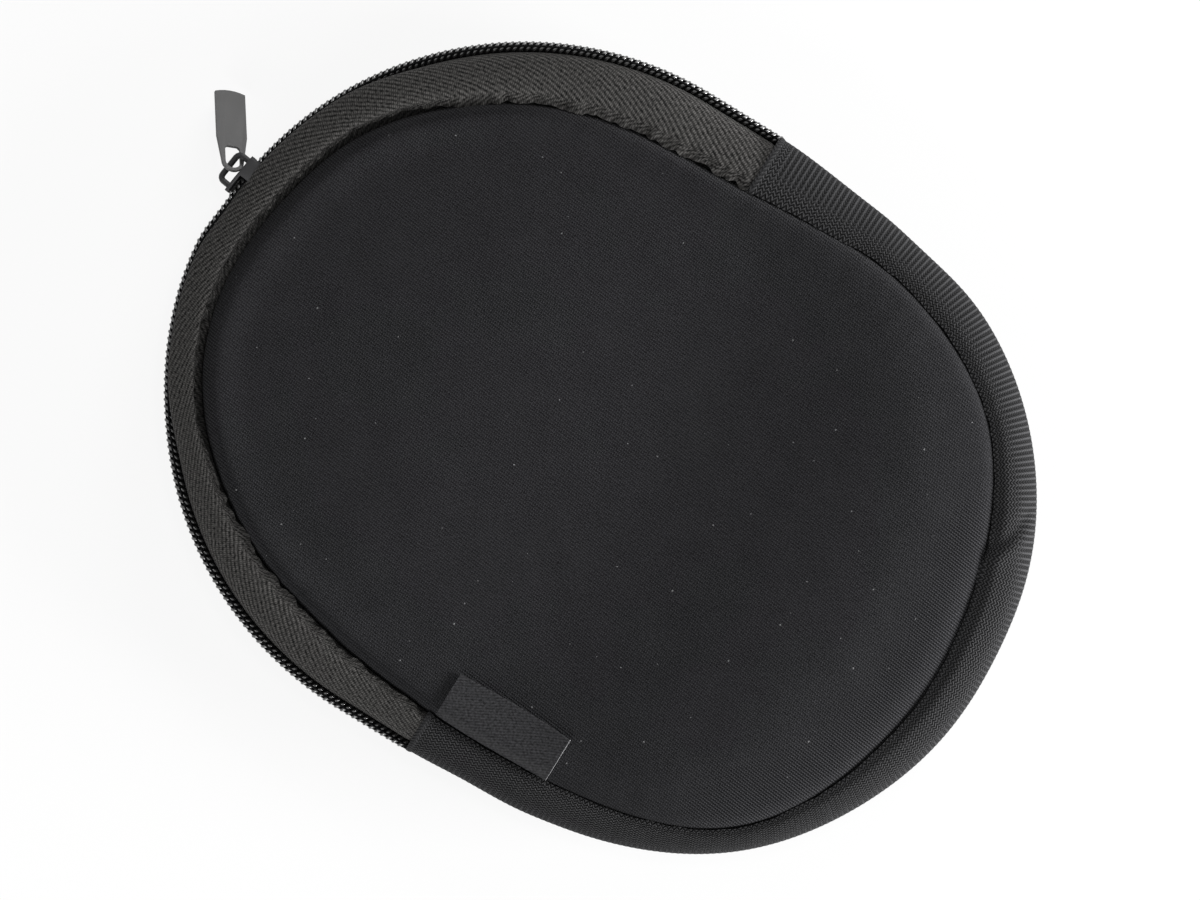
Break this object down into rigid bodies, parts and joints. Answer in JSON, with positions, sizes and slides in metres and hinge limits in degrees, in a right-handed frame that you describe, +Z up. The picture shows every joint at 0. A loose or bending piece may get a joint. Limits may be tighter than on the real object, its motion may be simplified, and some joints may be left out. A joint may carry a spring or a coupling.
{
  "type": "zip pouch",
  "caption": "Soft round-ended neoprene pouch with a coil zip round one end, a webbing gusset round the other, and a front that folds open.",
  "frame": {"origin": "on the floor under the middle of the fold line, in the flat face that the pouch lies on", "axes": "+X along the pouch to the webbing end, +Z up from the floor to the front panel, +Y to the end of the zip that opens last"},
  "size_m": [0.2317, 0.172, 0.024],
  "materials": {
    "neoprene": "matt black knit-faced neoprene",
    "webbing": "dark grey ribbed webbing",
    "zip_tape": "dark warm grey herringbone tape",
    "zip_coil": "black nylon coil",
    "binding": "black folded binding",
    "label": "black satin, bare",
    "slider_metal": "dark gunmetal",
    "tab_metal": "satin gunmetal"
  },
  "bodies": {
    "pouch": {"back_panel": "neoprene", "front_panel": "neoprene", "spine_webbing": "webbing", "back_zip_tape": "zip_tape", "back_zip_coil": "zip_coil", "back_seam_binding": "binding", "front_seam_binding": "binding", "side_label": "label"},
    "flap": {"front_flap": "neoprene", "front_zip_tape": "zip_tape", "front_zip_coil": "zip_coil", "flap_seam_binding": "binding"},
    "slider": {"slider_body": "slider_metal"},
    "tab": {"pull_tab": "tab_metal"}
  },
  "joints": [
    {"name": "flap_open", "type": "hinge", "parent": "pouch", "child": "flap", "pos_m": [0, 0, 0.024], "axis": [0, 1, 0], "range_deg": [0, 115], "deforming": ["front_zip_coil"]},
    {"name": "slider_travel", "type": "hinge", "parent": "pouch", "child": "slider", "pos_m": [-0.0204, 0, 0.012], "axis": [0, 0, -1], "range_deg": [0, 79.35], "deforming": ["back_zip_coil"]},
    {"name": "tab_swing", "type": "hinge", "parent": "slider", "child": "tab", "pos_m": [-0.10986, 0.01235, 0.012], "axis": [0.1236, 0.9923, 0], "range_deg": [-20, 80]}
  ],
  "couplings": [
    {"joint": "slider_travel", "follows": "flap_open", "ratio": 0.69}
  ]
}
